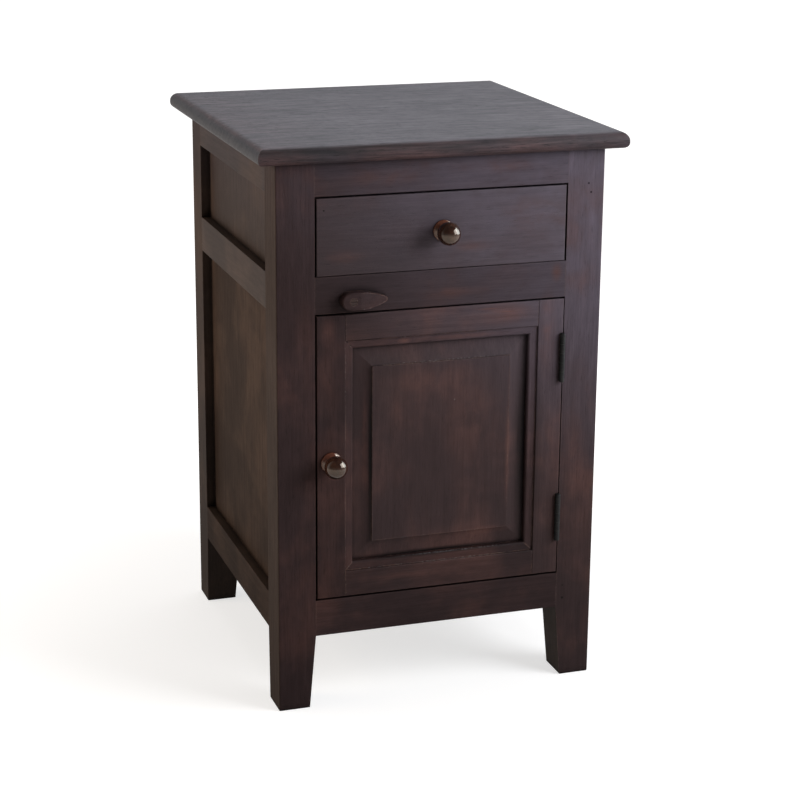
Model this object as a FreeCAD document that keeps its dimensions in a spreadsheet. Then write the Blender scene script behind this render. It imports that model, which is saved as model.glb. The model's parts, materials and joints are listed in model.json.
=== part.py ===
import FreeCAD, Part
import math
import os
from types import SimpleNamespace

import Sketcher

# Nightstand with one drawer over one door, in millimetres, +Z up, front towards -Y.
# Pieces are drawn in the case frame: x from the middle of the case, y back from its front face,
# z from the floor.

DIMENSIONS = {
    # Case
    "case_width": 410,
    "case_depth": 418,
    "foot_height": 94,
    "bottom_rail_height": 46,
    "door_opening_height": 359,
    "middle_rail_height": 45,
    "drawer_opening_height": 95,
    "top_rail_height": 41,
    "post_size": 47,
    "foot_side_taper": 8,
    "foot_depth_taper": 4,
    "post_edge_round": 2,
    "foot_edge_round": 1.5,
    "rail_edge_round": 0.8,
    # Mortises, tenons and grooves of the case
    "rail_groove_wall": 4,
    "tenon_length": 22,
    "tenon_thickness": 9,
    "tenon_margin": 2,
    "joint_clearance": 0.1,
    "panel_recess": 12,
    "panel_thickness": 8,
    "panel_tongue": 6,
    "panel_float": 1,
    "back_panel_recess": 6,
    "back_panel_thickness": 6,
    # Top board
    "top_thickness": 20,
    "top_side_overhang": 24,
    "top_front_overhang": 17,
    "top_back_overhang": 22,
    "top_upper_round": 11,
    "top_lower_round": 7,
    # Inside of the case
    "floor_thickness": 12,
    "floor_clearance": 0.3,
    "cleat_width": 18,
    "cleat_height": 18,
    "runner_ledge": 20,
    "runner_thickness": 18,
    "guide_height": 18,
    "stop_length": 15,
    "stop_height": 20,
    "stop_clearance": 0.3,
    "door_stop_thickness": 10,
    "door_stop_depth": 14,
    # Drawer
    "drawer_gap": 2,
    "drawer_run_clearance": 0.4,
    "drawer_front_thickness": 20,
    "drawer_depth": 380,
    "drawer_side_thickness": 12,
    "drawer_side_height": 78,
    "drawer_back_thickness": 12,
    "drawer_back_inset": 14,
    "drawer_back_housing": 5,
    "drawer_bottom_thickness": 5,
    "drawer_bottom_rise": 10,
    "drawer_bottom_tongue": 6,
    "dovetail_lap": 8,
    "dovetail_neck": 14,
    "dovetail_flare": 3,
    "front_edge_round": 1.2,
    # Door
    "door_gap": 2,
    "hinge_gap": 0.8,
    "door_thickness": 20,
    "knob_stile_width": 35.5,
    "hinge_stile_width": 33,
    "door_rail_width": 32.5,
    "door_tenon_length": 20,
    "door_tenon_margin": 3,
    "door_panel_tongue": 7,
    "door_panel_tongue_thickness": 6,
    "door_panel_depth": 10.5,
    "field_depth": 3.5,
    "field_step": 2.5,
    "field_margin": 24,
    "margin_cove_radius": 85,
    "moulding_width": 10.5,
    "moulding_setback": 2.5,
    "moulding_fall": 1,
    "moulding_nose": 3,
    # Butt hinges
    "hinge_length": 58,
    "hinge_inset": 45,
    "hinge_leaf_width": 14,
    "hinge_leaf_thickness": 2.4,
    "hinge_leaf_gap": 0.3,
    "hinge_barrel_radius": 3.3,
    "hinge_let_in": 0.5,
    "hinge_pin_radius": 1.6,
    "hinge_pin_clearance": 0.05,
    "hinge_pin_tip": 1.5,
    "hinge_knuckle_gap": 0.3,
    "hinge_seat_clearance": 0.3,
    # Knobs
    "knob_projection": 34,
    "knob_ball_radius": 14,
    "knob_neck_radius": 8,
    "knob_flange_radius": 13,
    "knob_flange_thickness": 2.5,
    "knob_flange_round": 1.2,
    "knob_neck_sweep": 9,
    "door_knob_drop": 4,
    # Turn button
    "button_thickness": 12,
    "button_head_radius": 10.5,
    "button_head_rise": 3.5,
    "button_reach": 43,
    "button_tip_width": 7,
    "button_side_radius": 90,
    "button_taper_start": 9,
    "button_tip_fall": 5.5,
    "button_edge_round": 2,
    "button_gap": 0.4,
    "button_above_door": 15.5,
    "button_from_post": 44,
    # Screws
    "screw_slot": 1,
    "screw_fit": 0.05,
    "hinge_screw_head_radius": 3.4,
    "hinge_screw_head_height": 1.9,
    "hinge_screw_radius": 1.5,
    "hinge_screw_length": 16,
    "top_screw_head_radius": 4.5,
    "top_screw_head_height": 3,
    "top_screw_radius": 2.2,
    "top_screw_bite": 12,
    "top_screw_length": 34,
    "button_screw_head_radius": 4.2,
    "button_screw_head_height": 3,
    "button_screw_radius": 2,
    "button_screw_length": 30,
    "button_head_clearance": 0.3,
    "knob_screw_head_radius": 4.5,
    "knob_screw_head_height": 2.6,
    "knob_screw_radius": 2,
    "knob_screw_hole_clearance": 0.4,
    "knob_screw_reach": 12,
    "knob_hole_spare": 2,
    # One overrun serves every cut that runs out of a piece
    "overrun": 5,
}

# Counts and shares of the sizes that they follow
HINGE_KNUCKLES = 5
DOVETAILS = 2
HINGE_SCREW_SHARES = (0.16, 0.5, 0.84)
TOP_SCREW_SHARES = (0.2, 0.8)
PAN_HEAD_TOP_SHARE = 0.7

# Largest distance at which two coordinates count as the same
TOUCH = 1e-4

DOC = FreeCAD.newDocument("nightstand")
SHEET = DOC.addObject("Spreadsheet::Sheet", "dims")
for row, (alias, number) in enumerate(DIMENSIONS.items(), start=1):
    SHEET.set(f"A{row}", alias)
    SHEET.set(f"B{row}", str(number))
    SHEET.setAlias(f"B{row}", alias)
DOC.recompute()


class Size:
    """A named length of the sheet, or lengths worked out from them, kept as an expression."""

    def __init__(self, text):
        self.text = text

    def __str__(self):
        return self.text

    def __neg__(self):
        return Size(f"(-1 * {self.text})")

    def __add__(self, other):
        return Size(f"({self.text} + {other})")

    def __sub__(self, other):
        return Size(f"({self.text} - {other})")

    def __mul__(self, factor):
        return Size(f"({self.text} * {factor})")

    def __truediv__(self, divisor):
        return Size(f"({self.text} / {divisor})")

    @property
    def value(self):
        return float(SHEET.evalExpression(self.text))


ZERO = Size("0")
s = SimpleNamespace(**{alias: Size(f"dims.{alias}") for alias in DIMENSIONS})

# Sides and ends of the case
LEFT, RIGHT = -1, 1
FRONT, BACK = -1, 1

# Turns that carry +Z to the named way
X_AXIS = FreeCAD.Vector(1, 0, 0)
Y_AXIS = FreeCAD.Vector(0, 1, 0)
QUARTER_TURN = 90
TURNS = {
    "+x": FreeCAD.Rotation(Y_AXIS, QUARTER_TURN),
    "-x": FreeCAD.Rotation(Y_AXIS, -QUARTER_TURN),
    "+y": FreeCAD.Rotation(X_AXIS, -QUARTER_TURN),
    "-y": FreeCAD.Rotation(X_AXIS, QUARTER_TURN),
    "+z": FreeCAD.Rotation(),
}

# Levels and widths that several pieces share
front_y = (s.knob_projection - s.case_depth - s.top_back_overhang) / 2
half_width = s.case_width / 2
half_opening = half_width - s.post_size
rail_thickness = s.panel_recess + s.panel_thickness + s.rail_groove_wall
tongue_room = s.panel_tongue + s.panel_float
tenon_shoulder = tongue_room + s.tenon_margin
door_sill = s.foot_height + s.bottom_rail_height
door_head = door_sill + s.door_opening_height
drawer_sill = door_head + s.middle_rail_height
drawer_head = drawer_sill + s.drawer_opening_height
case_top = drawer_head + s.top_rail_height

BOTTOM_RAIL = (s.foot_height, door_sill)
MIDDLE_RAIL = (door_head, drawer_sill)
TOP_RAIL = (drawer_head, case_top)

pieces = []


# Feature helpers

def place(feature, corner, turn=None):
    """Bind a feature's base point to three sizes, with an optional turn."""
    if turn is not None:
        feature.Placement = FreeCAD.Placement(FreeCAD.Vector(), turn)
    for axis, size in zip("xyz", corner):
        feature.setExpression(f"Placement.Base.{axis}", str(size))


def bind(feature, **sizes):
    """Bind a feature's properties to sizes."""
    for name, size in sizes.items():
        feature.setExpression(name, str(size))


def new_body(label, x=ZERO, y=ZERO, z=ZERO, turn=None):
    """An empty sub-part, whose placement carries its own frame from the case frame to the shared one."""
    body = DOC.addObject("PartDesign::Body", label)
    body.Label = label
    place(body, (x, front_y + y, z), turn)
    pieces.append(body)
    return body


def box(body, action, corner, size):
    """A block that is added to a body or taken from it."""
    feature = body.newObject(f"PartDesign::{action}Box", f"{body.Name}_block")
    bind(feature, Length=size[0], Width=size[1], Height=size[2])
    place(feature, corner)


def add_box(body, corner, size):
    box(body, "Additive", corner, size)


def cut_box(body, corner, size):
    box(body, "Subtractive", corner, size)


def add_round(body, start, toward, radius, length, action="Additive"):
    """A cylinder that runs from a point towards one of the axes."""
    feature = body.newObject(f"PartDesign::{action}Cylinder", f"{body.Name}_round")
    bind(feature, Radius=radius, Height=length)
    place(feature, start, TURNS[toward])


def cut_round(body, start, toward, radius, length):
    add_round(body, start, toward, radius, length, "Subtractive")


def cut_countersink(body, start, toward, mouth_radius, hole_radius, depth):
    """A conical seat for a screw's head, widest at its start."""
    feature = body.newObject("PartDesign::SubtractiveCone", f"{body.Name}_seat")
    bind(feature, Radius1=mouth_radius, Radius2=hole_radius, Height=depth)
    place(feature, start, TURNS[toward])


def arc_between(start, end, radius, bulge):
    """Arc that bulges to the left (+1) or to the right (-1) of the way from start to end."""
    chord = end - start
    left = FreeCAD.Vector(-chord.y, chord.x, 0).normalize()
    middle = start + chord * 0.5
    half = chord.Length / 2
    rise = radius - math.sqrt(max(radius * radius - half * half, 0))
    return Part.Arc(start, middle + left * (bulge * rise), end)


def draw_loop(drawing, loop):
    """Closed outline. Each corner is (across, up), with (radius, bulge) after it where an arc leaves it."""
    first = drawing.GeometryCount
    points = [FreeCAD.Vector(corner[0].value, corner[1].value, 0) for corner in loop]
    starts = []
    for index, corner in enumerate(loop):
        start, end = points[index], points[(index + 1) % len(loop)]
        if len(corner) == 2:
            drawing.addGeometry(Part.LineSegment(start, end))
        else:
            drawing.addGeometry(arc_between(start, end, corner[2].value, corner[3]))
        # An arc is stored anticlockwise, so one that bulges left starts at its far end
        starts.append(2 if len(corner) > 2 and corner[3] > 0 else 1)
    for index, corner in enumerate(loop):
        here = first + index
        after = first + (index + 1) % len(loop)
        drawing.addConstraint(Sketcher.Constraint(
            "Coincident", here, 3 - starts[index], after, starts[(index + 1) % len(loop)]))
        for kind, size in (("DistanceX", corner[0]), ("DistanceY", corner[1])):
            number = drawing.addConstraint(Sketcher.Constraint(
                kind, -1, 1, here, starts[index], size.value))
            drawing.setExpression(f"Constraints[{number}]", str(size))
        if len(corner) > 2:
            number = drawing.addConstraint(Sketcher.Constraint("Radius", here, corner[2].value))
            drawing.setExpression(f"Constraints[{number}]", str(corner[2]))


def sketch(body, plane, *loops, offset=ZERO):
    """Sketch of closed outlines on one of the body's own planes, moved along the plane's normal."""
    drawing = body.newObject("Sketcher::SketchObject", f"{body.Name}_sketch")
    support = next(item for item in body.Origin.OriginFeatures if item.Role == plane)
    drawing.AttachmentSupport = [(support, "")]
    drawing.MapMode = "FlatFace"
    drawing.setExpression("AttachmentOffset.Base.z", str(offset))
    for loop in loops:
        draw_loop(drawing, loop)
    return drawing


def pad(body, drawing, length, backwards=False):
    feature = body.newObject("PartDesign::Pad", f"{body.Name}_pad")
    feature.Profile = drawing
    feature.Reversed = backwards
    bind(feature, Length=length)


def pocket(body, drawing, length, backwards=False):
    feature = body.newObject("PartDesign::Pocket", f"{body.Name}_pocket")
    feature.Profile = drawing
    feature.Reversed = backwards
    bind(feature, Length=length)


def ease(body, radius, **where):
    """Round every edge whose ends all lie at the given coordinates."""
    DOC.recompute()
    base = body.Tip
    names = []
    for number, edge in enumerate(base.Shape.Edges, start=1):
        ends = [vertex.Point for vertex in edge.Vertexes]
        if all(abs(getattr(end, axis) - size.value) < TOUCH for end in ends for axis, size in where.items()):
            names.append(f"Edge{number}")
    feature = body.newObject("PartDesign::Fillet", f"{body.Name}_ease")
    feature.Base = (base, names)
    bind(feature, Radius=radius)


def screw(start, toward, head_top, head_base, head_height, shank, length):
    """Slotted screw with its head's top at start and its shank running towards one of the axes."""
    head = DOC.addObject("Part::Cone", "screw_head")
    bind(head, Radius1=head_top, Radius2=head_base, Height=head_height)
    stem = DOC.addObject("Part::Cylinder", "screw_stem")
    bind(stem, Radius=shank, Height=length)
    blank = DOC.addObject("Part::Fuse", "screw_blank")
    blank.Base, blank.Tool = head, stem
    slot = DOC.addObject("Part::Box", "screw_slot")
    bind(slot, Length=head_top * 2, Width=s.screw_slot, Height=s.screw_slot)
    place(slot, (-head_top, -s.screw_slot / 2, ZERO))
    whole = DOC.addObject("Part::Cut", "screw")
    whole.Base, whole.Tool = blank, slot
    place(whole, start, TURNS[toward])
    return whole


def group(label, solids):
    """A node of separate solids that are drawn in the case frame."""
    compound = DOC.addObject("Part::Compound", label)
    compound.Label = label
    compound.Links = solids
    place(compound, (ZERO, front_y, ZERO))
    pieces.append(compound)


# Places in the case frame

def in_from_side(side, start, width):
    """Low x of a stretch that starts this far in from the left or right face of the case."""
    return start - half_width if side == LEFT else half_width - start - width


def in_from_end(end, start, depth):
    """Low y of a stretch that starts this far in from the front or back face of the case."""
    return start if end == FRONT else s.case_depth - start - depth


tenon_setback = (rail_thickness - s.tenon_thickness) / 2
mortise_setback = tenon_setback - s.joint_clearance
mortise_thickness = s.tenon_thickness + s.joint_clearance * 2
mortise_depth = s.tenon_length + s.joint_clearance
groove_setback = s.panel_recess - s.joint_clearance
groove_thickness = s.panel_thickness + s.joint_clearance * 2
back_groove_setback = s.back_panel_recess - s.joint_clearance
back_groove_thickness = s.back_panel_thickness + s.joint_clearance * 2


def tenon_levels(low, high, spare=ZERO):
    """Foot and height of a rail's tenon, or of its mortise when spare is the clearance."""
    foot = low + tenon_shoulder - spare
    return foot, high - tenon_shoulder + spare - foot


# Posts with tapered feet

def make_post(label, side, end):
    body = new_body(label)
    outer_x = half_width * side
    inner_x = half_opening * side
    foot_x = inner_x + s.foot_side_taper * side
    near = in_from_end(end, ZERO, s.post_size)
    outline = [(outer_x, ZERO), (foot_x, ZERO), (inner_x, s.foot_height), (inner_x, case_top),
               (outer_x, case_top)]
    pad(body, sketch(body, "XZ_Plane", outline, offset=-near), s.post_size, backwards=True)

    inner_y = s.post_size if end == FRONT else s.case_depth - s.post_size
    foot_y = inner_y + s.foot_depth_taper * end
    waste_y = inner_y - s.overrun * end
    waste = [(inner_y, s.foot_height), (foot_y, ZERO), (foot_y, -s.overrun), (waste_y, -s.overrun),
             (waste_y, s.foot_height)]
    start_x = in_from_side(side, ZERO, s.post_size) - s.overrun
    drawing = sketch(body, "YZ_Plane", waste, offset=start_x)
    pocket(body, drawing, s.post_size + s.overrun * 2, backwards=True)

    # Mortises for the side rails, and for the front or back rails
    for low, high in (BOTTOM_RAIL, MIDDLE_RAIL, TOP_RAIL):
        foot, height = tenon_levels(low, high, s.joint_clearance)
        cut_box(body,
                (in_from_side(side, mortise_setback, mortise_thickness),
                 in_from_end(end, s.post_size - mortise_depth, mortise_depth + s.overrun), foot),
                (mortise_thickness, mortise_depth + s.overrun, height))
        if end == FRONT or low is not door_head:
            cut_box(body,
                    (in_from_side(side, s.post_size - mortise_depth, mortise_depth + s.overrun),
                     in_from_end(end, mortise_setback, mortise_thickness), foot),
                    (mortise_depth + s.overrun, mortise_thickness, height))

    # Grooves for the side panels, and for the back panel
    for low, high in ((door_sill, door_head), (drawer_sill, drawer_head)):
        cut_box(body,
                (in_from_side(side, groove_setback, groove_thickness),
                 in_from_end(end, s.post_size - tongue_room, tongue_room + s.overrun), low - tongue_room),
                (groove_thickness, tongue_room + s.overrun, high - low + tongue_room * 2))
    if end == BACK:
        cut_box(body,
                (in_from_side(side, s.post_size - tongue_room, tongue_room + s.overrun),
                 in_from_end(end, back_groove_setback, back_groove_thickness), door_sill - tongue_room),
                (tongue_room + s.overrun, back_groove_thickness, drawer_head - door_sill + tongue_room * 2))
    outer_y = ZERO if end == FRONT else s.case_depth
    ease(body, s.post_edge_round, x=outer_x, y=outer_y)
    ease(body, s.foot_edge_round, z=ZERO)
    return body


posts = {}
for end, end_name in ((FRONT, "front"), (BACK, "back")):
    for side, side_name in ((LEFT, "left"), (RIGHT, "right")):
        posts[end, side] = make_post(f"{end_name}_{side_name}_post", side, end)


# Rails

def groove_levels(low, high, edges):
    """Foot of the groove in a rail's lower or upper edge."""
    feet = {"low": low - s.overrun, "high": high - tongue_room}
    return [feet[edge] for edge in edges]


def make_cross_rail(label, end, levels, grooved=()):
    """Rail between the two front posts or the two back posts."""
    low, high = levels
    body = new_body(label)
    outer_y = ZERO if end == FRONT else s.case_depth
    add_box(body, (-half_opening, in_from_end(end, ZERO, rail_thickness), low),
            (half_opening * 2, rail_thickness, high - low))
    for level in (low, high):
        ease(body, s.rail_edge_round, y=outer_y, z=level)
    foot, height = tenon_levels(low, high)
    add_box(body, (-half_opening - s.tenon_length, in_from_end(end, tenon_setback, s.tenon_thickness), foot),
            (half_opening * 2 + s.tenon_length * 2, s.tenon_thickness, height))
    for groove_foot in groove_levels(low, high, grooved):
        cut_box(body,
                (-half_opening - s.overrun, in_from_end(end, back_groove_setback, back_groove_thickness),
                 groove_foot),
                (half_opening * 2 + s.overrun * 2, back_groove_thickness, tongue_room + s.overrun))
    return body


def make_side_rail(label, side, levels, grooved):
    """Rail between a front post and a back post."""
    low, high = levels
    body = new_body(label)
    length = s.case_depth - s.post_size * 2
    add_box(body, (in_from_side(side, ZERO, rail_thickness), s.post_size, low),
            (rail_thickness, length, high - low))
    for level in (low, high):
        ease(body, s.rail_edge_round, x=half_width * side, z=level)
    foot, height = tenon_levels(low, high)
    add_box(body, (in_from_side(side, tenon_setback, s.tenon_thickness), s.post_size - s.tenon_length, foot),
            (s.tenon_thickness, length + s.tenon_length * 2, height))
    for groove_foot in groove_levels(low, high, grooved):
        cut_box(body,
                (in_from_side(side, groove_setback, groove_thickness), s.post_size - s.overrun, groove_foot),
                (groove_thickness, length + s.overrun * 2, tongue_room + s.overrun))


make_cross_rail("front_top_rail", FRONT, TOP_RAIL)
front_middle_rail = make_cross_rail("front_middle_rail", FRONT, MIDDLE_RAIL)
make_cross_rail("front_bottom_rail", FRONT, BOTTOM_RAIL)
make_cross_rail("back_top_rail", BACK, TOP_RAIL, ["low"])
make_cross_rail("back_bottom_rail", BACK, BOTTOM_RAIL, ["high"])
for side, side_name in ((LEFT, "left"), (RIGHT, "right")):
    make_side_rail(f"{side_name}_top_rail", side, TOP_RAIL, ["low"])
    make_side_rail(f"{side_name}_middle_rail", side, MIDDLE_RAIL, ["low", "high"])
    make_side_rail(f"{side_name}_bottom_rail", side, BOTTOM_RAIL, ["high"])


# Flat panels in the grooves

def make_side_panel(label, side, low, high):
    body = new_body(label)
    add_box(body, (in_from_side(side, s.panel_recess, s.panel_thickness), s.post_size - s.panel_tongue,
                   low - s.panel_tongue),
            (s.panel_thickness, s.case_depth - s.post_size * 2 + s.panel_tongue * 2,
             high - low + s.panel_tongue * 2))


for side, side_name in ((LEFT, "left"), (RIGHT, "right")):
    make_side_panel(f"{side_name}_lower_panel", side, door_sill, door_head)
    make_side_panel(f"{side_name}_upper_panel", side, drawer_sill, drawer_head)

back_panel = new_body("back_panel")
add_box(back_panel,
        (-half_opening - s.panel_tongue, in_from_end(BACK, s.back_panel_recess, s.back_panel_thickness),
         door_sill - s.panel_tongue),
        (half_opening * 2 + s.panel_tongue * 2, s.back_panel_thickness,
         drawer_head - door_sill + s.panel_tongue * 2))


# Top board with a rounded nose on all four edges

top_board = new_body("top_board")
top_left = -half_width - s.top_side_overhang
top_width = s.case_width + s.top_side_overhang * 2
top_depth = s.case_depth + s.top_front_overhang + s.top_back_overhang
add_box(top_board, (top_left, -s.top_front_overhang, case_top), (top_width, top_depth, s.top_thickness))
ease(top_board, s.top_upper_round, z=case_top + s.top_thickness)
ease(top_board, s.top_lower_round, z=case_top)


# Floor of the cabinet on its cleats

floor_edge = rail_thickness + s.floor_clearance
floor_notch = s.post_size + s.floor_clearance
cabinet_floor = new_body("cabinet_floor")
add_box(cabinet_floor, (floor_edge - half_width, floor_edge, door_sill - s.floor_thickness),
        (s.case_width - floor_edge * 2, s.case_depth - floor_edge * 2, s.floor_thickness))
for end in (FRONT, BACK):
    for side in (LEFT, RIGHT):
        cut_box(cabinet_floor,
                (in_from_side(side, ZERO, floor_notch), in_from_end(end, ZERO, floor_notch),
                 door_sill - s.floor_thickness - s.overrun),
                (floor_notch, floor_notch, s.floor_thickness + s.overrun * 2))

between_posts = s.case_depth - s.post_size * 2
for side, side_name in ((LEFT, "left"), (RIGHT, "right")):
    cleat = new_body(f"{side_name}_floor_cleat")
    add_box(cleat, (in_from_side(side, rail_thickness, s.cleat_width), s.post_size,
                    door_sill - s.floor_thickness - s.cleat_height),
            (s.cleat_width, between_posts, s.cleat_height))


# Runners under the drawer with their guides, and kickers above it that also hold the top

back_panel_face = s.case_depth - s.back_panel_recess - s.back_panel_thickness
ledge_length = back_panel_face - rail_thickness
guide_width = s.post_size - rail_thickness
kicker_length = s.case_depth - rail_thickness * 2

for side, side_name in ((LEFT, "left"), (RIGHT, "right")):
    runner = new_body(f"{side_name}_drawer_runner")
    runner_foot = drawer_sill - s.runner_thickness
    add_box(runner, (in_from_side(side, s.post_size, s.runner_ledge), rail_thickness, runner_foot),
            (s.runner_ledge, ledge_length, s.runner_thickness))
    add_box(runner, (in_from_side(side, rail_thickness, guide_width), s.post_size, runner_foot),
            (guide_width, between_posts, s.runner_thickness + s.guide_height))

    kicker = new_body(f"{side_name}_drawer_kicker")
    add_box(kicker, (in_from_side(side, s.post_size, s.runner_ledge), rail_thickness, drawer_head),
            (s.runner_ledge, kicker_length, s.top_rail_height))
    add_box(kicker, (in_from_side(side, rail_thickness, guide_width), s.post_size, drawer_head),
            (guide_width, between_posts, s.top_rail_height))
    for share in TOP_SCREW_SHARES:
        hole = (in_from_side(side, s.post_size + s.runner_ledge / 2, ZERO), s.case_depth * share)
        cut_round(kicker, (*hole, drawer_head), "+z", s.top_screw_radius + s.screw_fit, s.top_rail_height)
        cut_round(kicker, (*hole, drawer_head), "+z", s.top_screw_head_radius + s.screw_fit,
                  s.top_rail_height + s.top_screw_bite - s.top_screw_length + s.top_screw_head_height)
        cut_round(top_board, (*hole, case_top), "+z", s.top_screw_radius + s.screw_fit,
                  s.top_screw_bite + s.screw_fit)

top_screws = []
for side in (LEFT, RIGHT):
    for share in TOP_SCREW_SHARES:
        head_top = case_top + s.top_screw_bite - s.top_screw_length
        start = (in_from_side(side, s.post_size + s.runner_ledge / 2, ZERO), s.case_depth * share, head_top)
        top_screws.append(screw(start, "+z", s.top_screw_head_radius * PAN_HEAD_TOP_SHARE,
                                s.top_screw_head_radius, s.top_screw_head_height, s.top_screw_radius,
                                s.top_screw_length))
group("top_fixing_screws", top_screws)

stops = []
for side in (LEFT, RIGHT):
    block = DOC.addObject("Part::Box", "drawer_stop")
    bind(block, Length=s.drawer_side_thickness, Width=s.stop_length, Height=s.stop_height)
    place(block, (in_from_side(side, s.post_size + s.drawer_gap, s.drawer_side_thickness),
                  s.drawer_depth + s.stop_clearance, drawer_sill))
    stops.append(block)
group("drawer_stops", stops)

door_stop = new_body("door_stop_strip")
add_box(door_stop, (-half_opening, s.door_thickness + s.stop_clearance, door_sill),
        (s.door_stop_thickness, s.door_stop_depth, s.door_opening_height))


# Knobs, turned about the y axis with their base on the front face

def make_knob(label, x, z):
    body = new_body(label, x=x, z=z)
    centre = s.knob_projection - s.knob_ball_radius
    neck_end = centre - Size(f"sqrt(pow({s.knob_ball_radius}; 2) - pow({s.knob_neck_radius}; 2))")
    profile = [
        (ZERO, ZERO),
        (ZERO, -s.knob_projection, s.knob_ball_radius, -1),
        (s.knob_neck_radius, -neck_end, s.knob_neck_sweep, 1),
        (s.knob_flange_radius - s.knob_flange_round, -s.knob_flange_thickness, s.knob_flange_round, -1),
        (s.knob_flange_radius, s.knob_flange_round - s.knob_flange_thickness),
        (s.knob_flange_radius, ZERO),
    ]
    drawing = sketch(body, "XY_Plane", profile)
    feature = body.newObject("PartDesign::Revolution", f"{label}_turning")
    feature.Profile = drawing
    feature.ReferenceAxis = (drawing, ["V_Axis"])
    cut_round(body, (ZERO, ZERO, ZERO), "-y", s.knob_screw_radius + s.screw_fit,
              s.knob_screw_reach + s.knob_hole_spare)


def make_knob_screw(label, x, z, wall):
    """Machine screw from the back of a front of the given thickness into the knob."""
    start = (x, wall + s.knob_screw_head_height, z)
    length = s.knob_screw_head_height + wall + s.knob_screw_reach
    group(label, [screw(start, "-y", s.knob_screw_head_radius * PAN_HEAD_TOP_SHARE, s.knob_screw_head_radius,
                        s.knob_screw_head_height, s.knob_screw_radius, length)])


knob_hole_radius = s.knob_screw_radius + s.knob_screw_hole_clearance


# Drawer with half-blind dovetails

drawer_foot = drawer_sill + s.drawer_run_clearance
drawer_half = half_opening - s.drawer_gap
drawer_front_height = drawer_head - s.drawer_gap - drawer_foot
bottom_low = drawer_foot + s.drawer_bottom_rise
bottom_high = bottom_low + s.drawer_bottom_thickness
tail_pitch = (s.drawer_side_height - s.drawer_bottom_rise - s.drawer_bottom_thickness) / DOVETAILS


def dovetail(number, spare=ZERO):
    """Low and high levels of a tail at its neck and at its wide end."""
    middle = bottom_high + tail_pitch * (number + 0.5)
    neck = s.dovetail_neck / 2 + spare
    wide = neck + s.dovetail_flare
    return middle - neck, middle + neck, middle - wide, middle + wide


drawer_front = new_body("drawer_front")
add_box(drawer_front, (-drawer_half, ZERO, drawer_foot),
        (drawer_half * 2, s.drawer_front_thickness, drawer_front_height))
ease(drawer_front, s.front_edge_round, y=ZERO)
sockets = []
for number in range(DOVETAILS):
    neck_low, neck_high, wide_low, wide_high = dovetail(number, s.joint_clearance)
    lap = s.dovetail_lap - s.joint_clearance
    sockets.append([(lap, wide_low), (s.drawer_front_thickness, neck_low),
                    (s.drawer_front_thickness, neck_high), (lap, wide_high)])
socket_reach = s.drawer_side_thickness + s.joint_clearance
for side in (LEFT, RIGHT):
    drawing = sketch(drawer_front, "YZ_Plane", *sockets, offset=drawer_half * side)
    pocket(drawer_front, drawing, socket_reach, backwards=side == LEFT)
cut_box(drawer_front,
        (s.drawer_side_thickness - s.drawer_bottom_tongue - drawer_half - s.joint_clearance,
         s.drawer_front_thickness - s.drawer_bottom_tongue - s.joint_clearance,
         bottom_low - s.joint_clearance),
        (drawer_half * 2 - s.drawer_side_thickness * 2 + s.drawer_bottom_tongue * 2 + s.joint_clearance * 2,
         s.drawer_bottom_tongue + s.joint_clearance + s.overrun,
         s.drawer_bottom_thickness + s.joint_clearance * 2))
drawer_knob_z = drawer_foot + drawer_front_height / 2
cut_round(drawer_front, (ZERO, ZERO, drawer_knob_z), "+y", knob_hole_radius, s.drawer_front_thickness)
make_knob("drawer_knob", ZERO, drawer_knob_z)
make_knob_screw("drawer_knob_screw", ZERO, drawer_knob_z, s.drawer_front_thickness)

drawer_back_y = s.drawer_depth - s.drawer_back_inset - s.drawer_back_thickness


def make_drawer_side(label, side):
    body = new_body(label)
    outline = [(s.drawer_front_thickness, drawer_foot)]
    for number in range(DOVETAILS):
        neck_low, neck_high, wide_low, wide_high = dovetail(number)
        outline += [(s.drawer_front_thickness, neck_low), (s.dovetail_lap, wide_low),
                    (s.dovetail_lap, wide_high), (s.drawer_front_thickness, neck_high)]
    side_top = drawer_foot + s.drawer_side_height
    outline += [(s.drawer_front_thickness, side_top), (s.drawer_depth, side_top),
                (s.drawer_depth, drawer_foot)]
    low_x = -drawer_half if side == LEFT else drawer_half - s.drawer_side_thickness
    pad(body, sketch(body, "YZ_Plane", outline, offset=low_x), s.drawer_side_thickness)
    inner = s.drawer_side_thickness - s.drawer_bottom_tongue - s.joint_clearance
    groove_x = inner - drawer_half if side == LEFT else drawer_half - s.drawer_side_thickness - s.overrun
    cut_box(body, (groove_x, s.drawer_front_thickness - s.overrun, bottom_low - s.joint_clearance),
            (s.drawer_bottom_tongue + s.joint_clearance + s.overrun, s.drawer_depth,
             s.drawer_bottom_thickness + s.joint_clearance * 2))
    housing = s.drawer_side_thickness - s.drawer_back_housing - s.joint_clearance
    housing_x = housing - drawer_half if side == LEFT else drawer_half - s.drawer_side_thickness - s.overrun
    cut_box(body, (housing_x, drawer_back_y - s.joint_clearance, bottom_high),
            (s.drawer_back_housing + s.joint_clearance + s.overrun,
             s.drawer_back_thickness + s.joint_clearance * 2, s.drawer_side_height))


make_drawer_side("drawer_left_side", LEFT)
make_drawer_side("drawer_right_side", RIGHT)

drawer_back = new_body("drawer_back")
back_half = drawer_half - s.drawer_side_thickness + s.drawer_back_housing
add_box(drawer_back, (-back_half, drawer_back_y, bottom_high),
        (back_half * 2, s.drawer_back_thickness,
         s.drawer_side_height - s.drawer_bottom_rise - s.drawer_bottom_thickness))

drawer_bottom = new_body("drawer_bottom")
bottom_half = drawer_half - s.drawer_side_thickness + s.drawer_bottom_tongue
bottom_front = s.drawer_front_thickness - s.drawer_bottom_tongue
add_box(drawer_bottom, (-bottom_half, bottom_front, bottom_low),
        (bottom_half * 2, drawer_back_y + s.drawer_back_thickness - bottom_front, s.drawer_bottom_thickness))


# Door frame

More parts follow.
